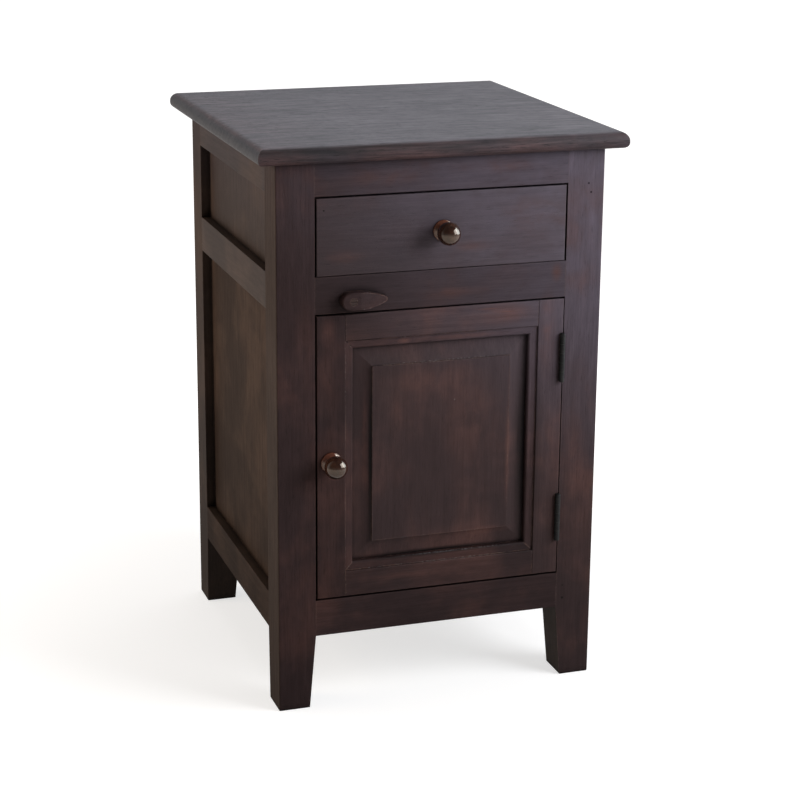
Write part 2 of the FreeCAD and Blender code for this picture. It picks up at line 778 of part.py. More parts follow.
door_left = s.door_gap - half_opening
door_right = half_opening - s.hinge_gap
door_low = door_sill + s.door_gap
door_high = door_head - s.door_gap
door_height = door_high - door_low
frame_left = door_left + s.knob_stile_width
frame_right = door_right - s.hinge_stile_width
frame_low = door_low + s.door_rail_width
frame_high = door_high - s.door_rail_width
frame_width = frame_right - frame_left
frame_height = frame_high - frame_low

door_tongue_room = s.door_panel_tongue + s.panel_float
door_groove_y = s.door_panel_depth - s.joint_clearance
door_groove_thickness = s.door_panel_tongue_thickness + s.joint_clearance * 2
door_mortise_reach = s.door_tenon_length + s.joint_clearance


def door_tenon_levels(rail_low, groove_side, spare=ZERO):
    """Foot and height of a door rail's tenon, clear of the groove on one edge of the rail."""
    inner = door_tongue_room + s.door_tenon_margin - spare
    outer = s.door_tenon_margin * 2 - spare
    foot = rail_low + (inner if groove_side == "low" else outer)
    return foot, s.door_rail_width - inner - outer


def make_stile(label, low_x, width, inner_side):
    body = new_body(label)
    add_box(body, (low_x, ZERO, door_low), (width, s.door_thickness, door_height))
    ease(body, s.front_edge_round, y=ZERO)
    inner_x = low_x + width if inner_side == RIGHT else low_x
    groove_x = inner_x - door_tongue_room if inner_side == RIGHT else inner_x - s.overrun
    cut_box(body, (groove_x, door_groove_y, frame_low - door_tongue_room),
            (door_tongue_room + s.overrun, door_groove_thickness, frame_height + door_tongue_room * 2))
    mortise_x = inner_x - door_mortise_reach if inner_side == RIGHT else inner_x - s.overrun
    for rail_low, groove_side in ((door_low, "high"), (frame_high, "low")):
        foot, height = door_tenon_levels(rail_low, groove_side, s.joint_clearance)
        cut_box(body, (mortise_x, door_groove_y, foot),
                (door_mortise_reach + s.overrun, door_groove_thickness, height))
    return body


def make_door_rail(label, rail_low, groove_side):
    body = new_body(label)
    add_box(body, (frame_left, ZERO, rail_low), (frame_width, s.door_thickness, s.door_rail_width))
    for level in (rail_low, rail_low + s.door_rail_width):
        ease(body, s.front_edge_round, y=ZERO, z=level)
    foot, height = door_tenon_levels(rail_low, groove_side)
    add_box(body, (frame_left - s.door_tenon_length, s.door_panel_depth, foot),
            (frame_width + s.door_tenon_length * 2, s.door_panel_tongue_thickness, height))
    feet = {"low": rail_low - s.overrun, "high": rail_low + s.door_rail_width - door_tongue_room}
    cut_box(body, (frame_left - s.overrun, door_groove_y, feet[groove_side]),
            (frame_width + s.overrun * 2, door_groove_thickness, door_tongue_room + s.overrun))


knob_stile = make_stile("door_knob_stile", door_left, s.knob_stile_width, RIGHT)
hinge_stile = make_stile("door_hinge_stile", frame_right, s.hinge_stile_width, LEFT)
make_door_rail("door_top_rail", frame_high, "low")
make_door_rail("door_bottom_rail", door_low, "high")

door_knob_x = door_left + s.knob_stile_width / 2
door_knob_z = door_low + door_height / 2 - s.door_knob_drop
cut_round(knob_stile, (door_knob_x, ZERO, door_knob_z), "+y", knob_hole_radius, s.door_thickness)
make_knob("door_knob", door_knob_x, door_knob_z)
make_knob_screw("door_knob_screw", door_knob_x, door_knob_z, s.door_thickness)


# Raised panel: the field stands on a step, and coved margins fall from it to the tongues

door_panel = new_body("door_panel")
panel_left = frame_left - s.door_panel_tongue
panel_right = frame_right + s.door_panel_tongue
panel_low = frame_low - s.door_panel_tongue
panel_high = frame_high + s.door_panel_tongue
panel_back = s.door_panel_depth + s.door_panel_tongue_thickness
add_box(door_panel, (panel_left, s.field_depth, panel_low),
        (panel_right - panel_left, panel_back - s.field_depth, panel_high - panel_low))
cove_foot = s.field_depth + s.field_step
field_inset = s.moulding_width + s.field_margin


def margin_waste(edge, inward, flip):
    """Waste beyond the margin of one edge, as (depth, place along the panel) or the other way round."""
    at_frame = edge + s.moulding_width * inward
    at_field = edge + field_inset * inward
    outside = edge - (s.door_panel_tongue + s.overrun) * inward
    bulge = inward if flip else -inward
    corners = [(s.door_panel_depth, outside), (s.door_panel_depth, at_frame, s.margin_cove_radius, bulge),
               (cove_foot, at_field), (s.field_depth - s.overrun, at_field),
               (s.field_depth - s.overrun, outside)]
    if flip:
        return [(corner[1], corner[0], *corner[2:]) for corner in corners]
    return corners


level_margins = [margin_waste(frame_low, 1, False), margin_waste(frame_high, -1, False)]
upright_margins = [margin_waste(frame_left, 1, True), margin_waste(frame_right, -1, True)]
drawing = sketch(door_panel, "YZ_Plane", *level_margins, offset=panel_left - s.overrun)
pocket(door_panel, drawing, panel_right - panel_left + s.overrun * 2, backwards=True)
drawing = sketch(door_panel, "XY_Plane", *upright_margins, offset=panel_low - s.overrun)
pocket(door_panel, drawing, panel_high - panel_low + s.overrun * 2, backwards=True)


# Mitred moulding round the panel, drawn with its outer edge on the x axis and its inner edge below

HALF_TURN = 180


def make_moulding(label, x, z, length, angle):
    body = new_body(label, x=x, z=z, turn=FreeCAD.Rotation(Y_AXIS, angle))
    half = length / 2
    front = [(-half, ZERO), (s.moulding_width - half, -s.moulding_width),
             (half - s.moulding_width, -s.moulding_width), (half, ZERO)]
    drawing = sketch(body, "XZ_Plane", front, offset=-s.moulding_setback)
    pad(body, drawing, s.door_panel_depth - s.moulding_setback, backwards=True)
    nose_y = s.moulding_setback + s.moulding_fall
    waste = [(s.moulding_setback, ZERO), (nose_y, s.moulding_nose - s.moulding_width, s.moulding_nose, -1),
             (nose_y + s.moulding_nose, -s.moulding_width),
             (nose_y + s.moulding_nose, -s.moulding_width - s.overrun),
             (s.moulding_setback - s.overrun, -s.moulding_width - s.overrun),
             (s.moulding_setback - s.overrun, ZERO)]
    drawing = sketch(body, "YZ_Plane", waste, offset=-half - s.overrun)
    pocket(body, drawing, length + s.overrun * 2, backwards=True)


frame_middle_x = frame_left + frame_width / 2
frame_middle_z = frame_low + frame_height / 2
make_moulding("door_top_moulding", frame_middle_x, frame_high, frame_width, 0)
make_moulding("door_bottom_moulding", frame_middle_x, frame_low, frame_width, HALF_TURN)
make_moulding("door_left_moulding", frame_left, frame_middle_z, frame_height, -QUARTER_TURN)
make_moulding("door_right_moulding", frame_right, frame_middle_z, frame_height, QUARTER_TURN)


# Butt hinges: the leaves lie on the post and in the stile, and their knuckles share one pin

hinge_x = half_opening - s.hinge_leaf_thickness - s.hinge_leaf_gap / 2
hinge_y = s.hinge_let_in - s.hinge_barrel_radius
leaf_start = hinge_y + s.hinge_barrel_radius + s.hinge_seat_clearance
leaf_depth = s.hinge_leaf_width - leaf_start
knuckle_pitch = s.hinge_length / HINGE_KNUCKLES
pin_hole_radius = s.hinge_pin_radius + s.hinge_pin_clearance
HINGES = {
    "upper": door_high - s.hinge_inset - s.hinge_length,
    "lower": door_low + s.hinge_inset,
}
hinge_screw_y = leaf_start + leaf_depth / 2


def make_leaf(label, foot, first_knuckle, leaf_x, toward):
    """Leaf with every other knuckle, from its first one up, and countersunk screw holes."""
    body = new_body(label)
    add_box(body, (leaf_x, leaf_start, foot), (s.hinge_leaf_thickness, leaf_depth, s.hinge_length))
    for number in range(first_knuckle, HINGE_KNUCKLES, 2):
        low = foot + knuckle_pitch * number + (s.hinge_knuckle_gap / 2 if number else ZERO)
        high = foot + knuckle_pitch * (number + 1)
        if number < HINGE_KNUCKLES - 1:
            high = high - s.hinge_knuckle_gap / 2
        add_box(body, (leaf_x, hinge_y, low), (s.hinge_leaf_thickness, leaf_start - hinge_y, high - low))
        add_round(body, (hinge_x, hinge_y, low), "+z", s.hinge_barrel_radius, high - low)
    cut_round(body, (hinge_x, hinge_y, foot - s.overrun), "+z", pin_hole_radius,
              s.hinge_length + s.overrun * 2)
    seat_x = leaf_x if toward == "+x" else leaf_x + s.hinge_leaf_thickness
    for share in HINGE_SCREW_SHARES:
        start = (seat_x, hinge_screw_y, foot + s.hinge_length * share)
        cut_countersink(body, start, toward, s.hinge_screw_head_radius + s.screw_fit,
                        s.hinge_screw_radius + s.screw_fit, s.hinge_screw_head_height)
        cut_round(body, start, toward, s.hinge_screw_radius + s.screw_fit, s.hinge_leaf_thickness + s.overrun)


def make_pin(label, foot):
    body = new_body(label)
    add_round(body, (hinge_x, hinge_y, foot - s.hinge_pin_tip), "+z", s.hinge_pin_radius,
              s.hinge_length + s.hinge_pin_tip * 2)
    for cap_foot in (foot - s.hinge_pin_tip, foot + s.hinge_length):
        add_round(body, (hinge_x, hinge_y, cap_foot), "+z", s.hinge_barrel_radius, s.hinge_pin_tip)
    ease(body, s.hinge_pin_tip / 2, z=foot - s.hinge_pin_tip)
    ease(body, s.hinge_pin_tip / 2, z=foot + s.hinge_length + s.hinge_pin_tip)


post_leaf_x = half_opening - s.hinge_leaf_thickness
door_leaf_x = post_leaf_x - s.hinge_leaf_gap - s.hinge_leaf_thickness
screw_hole_radius = s.hinge_screw_radius + s.screw_fit
screw_hole_depth = s.hinge_screw_length + s.screw_fit
notch_radius = s.hinge_barrel_radius + s.hinge_seat_clearance
post_screws, door_screws = [], []
for place_name, foot in HINGES.items():
    make_leaf(f"{place_name}_hinge_post_leaf", foot, 0, post_leaf_x, "+x")
    make_leaf(f"{place_name}_hinge_door_leaf", foot, 1, door_leaf_x, "-x")
    make_pin(f"{place_name}_hinge_pin", foot)
    notch_foot = foot - s.hinge_pin_tip - s.hinge_seat_clearance
    notch_height = s.hinge_length + s.hinge_pin_tip * 2 + s.hinge_seat_clearance * 2
    cut_box(hinge_stile, (door_leaf_x, -s.overrun, notch_foot),
            (half_opening - door_leaf_x, s.hinge_leaf_width + s.hinge_seat_clearance + s.overrun,
             notch_height))
    cut_round(hinge_stile, (hinge_x, hinge_y, notch_foot), "+z", notch_radius, notch_height)
    for share in HINGE_SCREW_SHARES:
        screw_z = foot + s.hinge_length * share
        post_start = (post_leaf_x, hinge_screw_y, screw_z)
        door_start = (door_leaf_x + s.hinge_leaf_thickness, hinge_screw_y, screw_z)
        for start, toward, wood, screws in ((post_start, "+x", posts[FRONT, RIGHT], post_screws),
                                            (door_start, "-x", hinge_stile, door_screws)):
            cut_round(wood, start, toward, screw_hole_radius, screw_hole_depth)
            screws.append(screw(start, toward, s.hinge_screw_head_radius, s.hinge_screw_radius,
                                s.hinge_screw_head_height, s.hinge_screw_radius, s.hinge_screw_length))
group("hinge_post_screws", post_screws)
group("hinge_door_screws", door_screws)


# Turn button, drawn about its screw and turned clear of the door, with its tip towards +x.
# Its sides are arcs that run on smoothly from the round head to the round tip.

button_x = s.button_from_post - half_opening
button_z = door_head + s.button_above_door
turn_button = new_body("turn_button", x=button_x, z=button_z)
tip_half = s.button_tip_width / 2
tip_centre = s.button_reach - tip_half
span = tip_centre + s.button_head_rise
head_swing = s.button_side_radius - s.button_head_radius
tip_swing = s.button_side_radius - tip_half
side_along = Size(f"(pow({head_swing}; 2) - pow({tip_swing}; 2) + pow({span}; 2))") / (span * 2)
side_across = Size(f"sqrt(pow({head_swing}; 2) - pow({side_along}; 2))")
head_along = -s.button_head_rise - side_along * s.button_head_radius / head_swing
head_across = side_across * s.button_head_radius / head_swing
tip_along = tip_centre + (span - side_along) * tip_half / tip_swing
tip_across = side_across * tip_half / tip_swing
outline = [
    (head_along, -head_across, s.button_side_radius, -1),
    (tip_along, -tip_across, tip_half, -1),
    (s.button_reach, ZERO, tip_half, -1),
    (tip_along, tip_across, s.button_side_radius, -1),
    (head_along, head_across, s.button_head_radius, -1),
    (-s.button_head_rise - s.button_head_radius, ZERO, s.button_head_radius, -1),
]
button_back = -s.button_gap
button_front = button_back - s.button_thickness
pad(turn_button, sketch(turn_button, "XZ_Plane", outline, offset=-button_back), s.button_thickness)
ease(turn_button, s.button_edge_round, y=button_front)

# The front face falls away towards the tip
fallen_front = button_front + s.button_tip_fall
waste = [(s.button_taper_start, button_front), (s.button_taper_start, button_front - s.overrun),
         (s.button_reach + s.overrun, button_front - s.overrun), (s.button_reach + s.overrun, fallen_front),
         (s.button_reach, fallen_front)]
drawing = sketch(turn_button, "XY_Plane", waste, offset=-s.button_head_radius - s.overrun)
pocket(turn_button, drawing, s.button_head_radius * 2 + s.overrun * 2, backwards=True)
cut_round(turn_button, (ZERO, button_front - s.overrun, ZERO), "+y", s.button_screw_radius + s.screw_fit,
          s.button_thickness + s.overrun * 2)
cut_countersink(turn_button, (ZERO, button_front, ZERO), "+y",
                s.button_screw_head_radius + s.button_head_clearance,
                s.button_screw_radius + s.screw_fit, s.button_screw_head_height + s.button_head_clearance)

button_screw_start = (button_x, button_front, button_z)
group("turn_button_screw", [screw(button_screw_start, "+y", s.button_screw_head_radius, s.button_screw_radius,
                                  s.button_screw_head_height, s.button_screw_radius, s.button_screw_length)])
cut_round(front_middle_rail, (button_x, ZERO, button_z), "+y", s.button_screw_radius + s.screw_fit,
          s.button_screw_length + button_front + s.screw_fit)


# Check every object, then write each sub-part

DOC.recompute()
faults = [item.Label for item in DOC.Objects if {"Invalid", "Error"} & set(item.State)]
faults += [piece.Label for piece in pieces if piece.Shape.isNull() or not piece.Shape.isValid()]
if faults:
    raise RuntimeError("These objects failed: " + ", ".join(faults))

os.makedirs("parts", exist_ok=True)
for piece in pieces:
    piece.Shape.exportStep(f"parts/{piece.Label}.step")
    print(piece.Label, "solids", len(piece.Shape.Solids), "volume", round(piece.Shape.Volume))
print(len(pieces), "sub-parts")
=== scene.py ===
import json
import math

import bpy
from mathutils import Euler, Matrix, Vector


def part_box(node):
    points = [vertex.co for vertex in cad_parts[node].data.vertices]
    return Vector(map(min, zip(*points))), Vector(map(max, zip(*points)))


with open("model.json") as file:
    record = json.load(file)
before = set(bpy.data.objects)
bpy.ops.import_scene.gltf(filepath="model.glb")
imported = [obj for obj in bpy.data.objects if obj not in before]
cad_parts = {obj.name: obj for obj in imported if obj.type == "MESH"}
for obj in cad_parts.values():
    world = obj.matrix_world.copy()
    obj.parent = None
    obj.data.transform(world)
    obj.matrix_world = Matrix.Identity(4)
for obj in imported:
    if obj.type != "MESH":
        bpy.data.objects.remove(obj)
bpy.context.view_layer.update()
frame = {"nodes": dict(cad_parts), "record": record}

# Camera at the photograph's viewing angle: place in metres, angles in degrees, lens and sensor in millimetres
CAMERA_PLACE = (-0.8209, -2.4884, 1.1138)
CAMERA_TURN = -18.584
CAMERA_DIP = 16.242
CAMERA_ROLL = 0.482
CAMERA_LENS = 94.52
CAMERA_SENSOR = 36.0
CAMERA_SHIFT_UP = -0.025

# Colours of the finish, as linear red, green and blue
STAIN_DARK = (0.0315, 0.0190, 0.0188, 1)
STAIN_RED = (0.062, 0.0305, 0.0260, 1)
# Painted window sheen: the stain lighter and cooler towards the upper right
STAIN_PAINTED_SHEEN = (0.089, 0.075, 0.095, 1)
STAIN_WORN = (0.135, 0.078, 0.060, 1)
STAIN_CHIP = (0.36, 0.33, 0.33, 1)
STAIN_BARE = (0.088, 0.042, 0.035, 1)
# Black of holes, and of painted shade and painted shadow
HOLE_AND_SHADE_BLACK = (0.004, 0.003, 0.003, 1)
TOP_DARK = (0.034, 0.026, 0.031, 1)
TOP_RED = (0.064, 0.035, 0.035, 1)
# Painted sheen on faces turned up: the top's stain lighter and greyer
TOP_PAINTED_SHEEN = (0.080, 0.070, 0.078, 1)
# Painted shade on the top's ends, which face sideways
TOP_FLANK_SHADE = (0.032, 0.028, 0.030, 1)
# Side boards: a lighter, browner copy of the stain, painted warm side light
SIDE_LIT_DARK = (0.038, 0.026, 0.021, 1)
SIDE_LIT_RED = (0.058, 0.038, 0.029, 1)
# Painted side light on the posts' sideways faces, browner than their fronts
POST_FLANK_SIDE_LIGHT = (0.050, 0.035, 0.029, 1)
INNER_DARK = (0.050, 0.027, 0.018, 1)
INNER_RED = (0.100, 0.056, 0.036, 1)
INNER_WORN = (0.20, 0.125, 0.08, 1)
BRONZE_DARK = (0.020, 0.008, 0.006, 1)
BRONZE_BRIGHT = (0.052, 0.022, 0.013, 1)
BRONZE_FLANGE = (0.105, 0.036, 0.022, 1)
BRONZE_SHINE = (1.0, 0.87, 0.72, 1)
IRON_DARK = (0.005, 0.005, 0.005, 1)
IRON_WORN = (0.016, 0.015, 0.014, 1)
STEEL_DARK = (0.10, 0.085, 0.075, 1)
STEEL_BRIGHT = (0.30, 0.27, 0.25, 1)
RUST_DARK = (0.014, 0.008, 0.007, 1)
RUST_BRIGHT = (0.042, 0.022, 0.017, 1)
WHITE = (1, 1, 1, 1)


# Shader graphs

class Graph:
    """Adds shader nodes to one tree and links them."""

    def __init__(self, tree):
        self.tree = tree
        tree.nodes.clear()

    def node(self, kind, inputs=(), **settings):
        made = self.tree.nodes.new("ShaderNode" + kind)
        for name, value in settings.items():
            setattr(made, name, value)
        for socket, value in dict(inputs).items():
            if isinstance(value, bpy.types.NodeSocket):
                self.tree.links.new(value, made.inputs[socket])
            else:
                made.inputs[socket].default_value = value
        return made

    def math(self, operation, first, second=0.0, clamp=False):
        return self.node("Math", {0: first, 1: second}, operation=operation, use_clamp=clamp).outputs[0]

    def plus(self, first, second, clamp=False):
        return self.math("ADD", first, second, clamp)

    def minus(self, first, second):
        return self.math("SUBTRACT", first, second)

    def times(self, first, second, clamp=False):
        return self.math("MULTIPLY", first, second, clamp)

    def most(self, first, second):
        return self.math("MAXIMUM", first, second)

    def weighted(self, *rows):
        """Sum of values, each times its weight."""
        total = None
        for value, weight in rows:
            part = self.times(value, weight)
            total = part if total is None else self.plus(total, part)
        return total

    def product(self, factors):
        total = factors[0]
        for factor in factors[1:]:
            total = self.times(total, factor)
        return total

    def mix(self, share, first, second, blend="MIX"):
        made = self.node("Mix", {0: share, 6: first, 7: second}, data_type="RGBA", blend_type=blend)
        return made.outputs[2]

    def ramp(self, value, low, high, to_low=0.0, to_high=1.0):
        """Value from low to high, carried smoothly to another range and held past both ends."""
        made = self.node("MapRange", {0: value, 1: low, 2: high, 3: to_low, 4: to_high},
                         interpolation_type="SMOOTHSTEP")
        return made.outputs[0]

    def swing(self, value, low, high, depth):
        """Value from low to high, carried to a factor that goes as far below 1 as above it."""
        return self.ramp(value, low, high, 1.0 - depth, 1.0 + depth)

    def noise(self, place, scale, detail, rough, distort):
        """Noise with so many waves to the metre: one number for all directions, or one for each."""
        if isinstance(scale, tuple):
            place = self.stretch(place, scale)
            scale = 1.0
        made = self.node("TexNoise", {"Vector": place, "Scale": scale, "Detail": detail, "Roughness": rough,
                                      "Distortion": distort})
        return made.outputs["Fac"]

    def coordinates(self, kind):
        return self.node("TexCoord").outputs[kind]

    def split(self, vector):
        return self.node("SeparateXYZ", {0: vector}).outputs

    def length(self, vector):
        return self.node("VectorMath", {0: vector}, operation="LENGTH").outputs["Value"]

    def stretch(self, place, scale):
        return self.node("VectorMath", {0: place, 1: scale}, operation="MULTIPLY").outputs[0]

    def move(self, place, offset):
        return self.node("VectorMath", {0: place, 1: offset}, operation="ADD").outputs[0]


def new_material(name):
    material = bpy.data.materials.new(name)
    material.use_nodes = True
    return material, Graph(material.node_tree)


# Samples that look for an edge, and how far a face has to turn there for wear to start and to be full
EDGE_SAMPLES = 6
EDGE_TURN = (0.01, 0.22)


def edge_share(graph, reach):
    """0 on flat faces, towards 1 within reach of an edge."""
    rounded = graph.node("Bevel", {"Radius": reach}, samples=EDGE_SAMPLES).outputs[0]
    flat = graph.node("NewGeometry").outputs["Normal"]
    facing = graph.node("VectorMath", {0: rounded, 1: flat}, operation="DOT_PRODUCT").outputs["Value"]
    return graph.ramp(graph.minus(1.0, facing), *EDGE_TURN)


# Finishes of the wood

class Finish:
    """How one board is stained, polished and worn, with light and shade painted in. The values given here are
    those of plain stained wood.
    """
    # Ends of the stain's clouds, how far the clouds tend to red, and the colour of rubbed edges
    dark = STAIN_DARK
    red = STAIN_RED
    redness = 0.5
    worn = STAIN_WORN
    # Painted sheen on faces turned up, above a front edge with painted shade, and painted light and shade on
    # faces turned sideways
    painted_top_sheen = None
    painted_flank_light = None
    # Roughness of the polish, the share of the surface that it covers, and its index of refraction
    roughness = 0.44
    sheen = 0.10
    refraction = 1.5
    # How far a painted window sheen lightens and cools the stain, and how far the edges are rubbed
    fade = 0.9
    wear = 0.3
    # Strength of the grain, and of the trunk's rings in it
    figure = 1.0
    ringed = 0.03
    # Lightness of the whole board, which also paints light and shade onto it, and painted shade on its left
    # end where that differs
    tone = 1.0
    painted_left_shade = None

    def __init__(self, **changes):
        for name, value in changes.items():
            setattr(self, name, value)

    def but(self, **changes):
        return Finish(**dict(vars(self), **changes))


STAINED = Finish()
INNER = Finish(dark=INNER_DARK, red=INNER_RED, worn=INNER_WORN, roughness=0.55, sheen=0.08, fade=0.0,
               figure=2.0)
# Painted light: side boards take a lighter, browner copy of the stain, with the painted window sheen in full
SIDE_LIT_COPY = Finish(dark=SIDE_LIT_DARK, red=SIDE_LIT_RED, sheen=0.07, fade=1.0)

# Boards that differ from the rest of their kind
# Tones here also paint light and shade: boards on the right lighter, left ends darker
FINISHES = {
    "top_board": Finish(dark=TOP_DARK, red=TOP_RED, painted_top_sheen=TOP_PAINTED_SHEEN, painted_flank_light=TOP_FLANK_SHADE, roughness=0.54,
                        sheen=0.92, refraction=1.25, redness=0.7, figure=3.4, fade=0.0, wear=0.5,
                        ringed=0.02),
    "drawer_front": Finish(sheen=0.24, wear=0.6, fade=1.0, redness=0.2, figure=0.8, tone=1.04,
                           painted_left_shade=0.95),
    "front_top_rail": Finish(sheen=0.12, redness=0.25, figure=0.8, tone=1.03, painted_left_shade=0.89),
    "front_middle_rail": Finish(sheen=0.12, redness=0.28, figure=0.8, tone=0.92, painted_left_shade=0.80),
    "front_bottom_rail": Finish(redness=0.4, tone=1.06),
    "door_top_rail": Finish(sheen=0.14, wear=0.7, tone=1.32, painted_left_shade=0.92),
    "door_bottom_rail": Finish(sheen=0.12, wear=0.9, tone=1.12, painted_left_shade=0.90),
    "door_knob_stile": Finish(redness=0.4, wear=0.6, tone=0.92),
    "door_hinge_stile": Finish(sheen=0.14, wear=0.6, tone=1.35),
    "door_panel": Finish(sheen=0.16, redness=0.55, wear=0.5, figure=0.8, fade=0.7, tone=1.29, painted_left_shade=1.20),
    "door_bottom_moulding": Finish(wear=1.0),
    "door_top_moulding": Finish(wear=1.2, tone=1.5),
    "door_left_moulding": Finish(wear=1.3, tone=1.15),
    "door_right_moulding": Finish(wear=0.9, tone=1.75),
    "front_left_post": Finish(sheen=0.09, redness=0.25, painted_flank_light=POST_FLANK_SIDE_LIGHT, tone=1.04),
    "front_right_post": Finish(sheen=0.13, redness=0.35, painted_flank_light=POST_FLANK_SIDE_LIGHT, tone=1.17),
    "left_top_rail": SIDE_LIT_COPY.but(sheen=0.20),
    "left_upper_panel": SIDE_LIT_COPY.but(sheen=0.16, tone=1.18),
    "left_middle_rail": SIDE_LIT_COPY.but(sheen=0.20, tone=1.14),
    "left_lower_panel": SIDE_LIT_COPY.but(tone=1.15),
    "left_bottom_rail": SIDE_LIT_COPY,
    "right_top_rail": SIDE_LIT_COPY,
    "right_upper_panel": SIDE_LIT_COPY,
    "right_middle_rail": SIDE_LIT_COPY,
    "right_lower_panel": SIDE_LIT_COPY,
    "right_bottom_rail": SIDE_LIT_COPY,
    "back_left_post": SIDE_LIT_COPY.but(sheen=0.13),
    "back_right_post": SIDE_LIT_COPY,
    "turn_button": Finish(wear=1.8, redness=0.6, tone=0.85),
}

# Boards whose grain runs from left to right, and from front to back; it runs upright in the others
ALONG_X = ("top_board", "front_top_rail", "front_middle_rail", "front_bottom_rail", "back_top_rail",
           "back_bottom_rail", "cabinet_floor", "drawer_front", "drawer_back", "drawer_bottom",
           "door_top_rail", "door_bottom_rail", "door_top_moulding", "door_bottom_moulding", "turn_button")
ALONG_Y = ("left_top_rail", "left_middle_rail", "left_bottom_rail", "right_top_rail", "right_middle_rail",
           "right_bottom_rail", "left_floor_cleat", "right_floor_cleat", "left_drawer_runner",
           "right_drawer_runner", "left_drawer_kicker", "right_drawer_kicker", "drawer_left_side",
           "drawer_right_side", "drawer_stops")

# Boards that show the marks of use, and the painted shadows and highlight listed among them
FRONT = ("drawer_front", "front_top_rail", "front_middle_rail", "front_bottom_rail", "door_top_rail",
         "door_bottom_rail", "door_knob_stile", "door_hinge_stile", "door_panel", "door_top_moulding",
         "door_bottom_moulding", "front_left_post", "front_right_post")

# Those marks by kind, in metres: across, up, half width, half height, and then strength
MARKS = {
    "bare": (
        (-0.142, 0.476, 0.014, 0.026, 0.70),
        (-0.138, 0.420, 0.020, 0.060, 0.35),
        (0.080, 0.482, 0.060, 0.018, 0.55),
        (0.136, 0.455, 0.015, 0.070, 0.55),
        (0.040, 0.352, 0.050, 0.080, 0.40),
        (-0.010, 0.410, 0.080, 0.024, 0.25),
        (0.060, 0.206, 0.050, 0.009, 0.60),
        (0.090, 0.315, 0.006, 0.120, 0.60),
        (-0.094, 0.340, 0.005, 0.090, 0.50),
        (-0.046, 0.459, 0.012, 0.005, 0.90),
        (0.030, 0.459, 0.080, 0.005, 0.60),
        (-0.040, 0.161, 0.080, 0.006, 0.45),
        (-0.080, 0.657, 0.075, 0.016, 0.28),
        (0.060, 0.664, 0.080, 0.012, 0.45),
        (0.112, 0.604, 0.055, 0.030, 0.40),
        (-0.122, 0.567, 0.034, 0.012, 0.50),
        (0.038, 0.570, 0.036, 0.010, 0.40),
        (0.146, 0.530, 0.010, 0.015, 0.80),
        (0.010, 0.515, 0.060, 0.009, 0.40),
        (-0.170, 0.470, 0.018, 0.070, 0.30),
        (0.176, 0.300, 0.020, 0.080, 0.30),
        (0.060, 0.4910, 0.022, 0.0014, 0.90),
        (0.084, 0.4860, 0.024, 0.0014, 0.90),
    ),
    "hole": (
        (0.1666, 0.1225, 0.0016, 0.0016, 0.55),
        (0.1666, 0.1056, 0.0018, 0.0018, 1.00),
        (0.1845, 0.6375, 0.0016, 0.0016, 0.70),
        (0.1880, 0.6265, 0.0016, 0.0016, 0.80),
        (-0.1470, 0.6226, 0.0013, 0.0013, 0.90),
        (-0.0920, 0.4643, 0.0300, 0.0008, 0.85),
        (-0.1180, 0.4615, 0.0014, 0.0024, 0.75),
        (-0.1145, 0.4580, 0.0026, 0.0011, 0.70),
    ),
    # Painted shadow beside the field's left step, beside the right moulding and above the bottom moulding
    "painted_shadow": (
        (-0.0874, 0.3180, 0.0034, 0.1200, 0.95),
        (0.1140, 0.3150, 0.0210, 0.1700, 0.95),
        (0.0000, 0.1860, 0.1500, 0.0050, 0.95),
    ),
    "chips_and_highlight": (
        (0.0190, 0.3800, 0.0008, 0.0008, 0.35),
        # Painted highlight along the field's top edge; the other marks here are chips
        (0.0010, 0.4303, 0.0960, 0.0009, 0.15),
        (0.0200, 0.1846, 0.0900, 0.0006, 0.22),
        (0.0250, 0.1748, 0.0850, 0.0008, 0.20),
    ),
}
# Where a mark of each kind starts and where it is full, as shares of its size, and how deep marks go
MARK_EDGES = {"bare": (1.0, 0.0), "hole": (1.0, 0.7), "painted_shadow": (1.0, 0.1), "chips_and_highlight": (1.0, 0.5)}
MARK_DEPTH = 0.03
MARK_FACING = (0.0, -0.3)


# Wood

# Order of the axes that puts a board's grain first, and how far apart the stretches of wood of two boards lie
GRAIN_ORDERS = {"x": ("X", "Y", "Z"), "y": ("Y", "Z", "X"), "z": ("Z", "X", "Y")}
FIRST_SEED = 1.0
SEED_STEP = 0.37
SEED_MOVE = (1.37, 0.61, 0.83)

# Noises: waves to the metre along and across the grain or in all directions, octaves, roughness, distortion
BEND_NOISE = ((2.2, 7.0, 7.0), 2.0, 0.55, 0.0)
FIBRE_NOISE = ((14.0, 420.0, 420.0), 5.0, 0.65, 0.0)
FLAME_NOISE = ((24.0, 120.0, 120.0), 4.0, 0.65, 0.8)
MOTTLE_NOISE = ((18.0, 34.0, 34.0), 4.0, 0.6, 0.5)
PORE_NOISE = ((70.0, 1300.0, 1300.0), 2.0, 0.6, 0.0)
SCUFF_NOISE = ((160.0, 620.0, 620.0), 3.0, 0.7, 0.5)
CLOUD_NOISE = (8.5, 4.0, 0.55, 0.25)
FLECK_NOISE = (420.0, 3.0, 0.6, 0.0)
PATCH_NOISE = (38.0, 5.0, 0.7, 0.0)
SPECK_NOISE = (900.0, 2.0, 0.5, 0.0)

# Values of those noises between which a feature comes in
FIBRE_RANGE = (0.25, 0.75)
FLAME_RANGE = (0.32, 0.68)
FLECK_RANGE = (0.47, 0.60)
PATCH_RANGE = (0.40, 0.62)
PORE_RANGE = (0.58, 0.70)
SCUFF_RANGE = (0.66, 0.76)
SPECK_RANGE = (0.60, 0.70)

# Rings of the trunk: radians to the metre, and how far slow waves bend them, in metres
RING_TURNS = 620.0
RING_BEND = 0.075

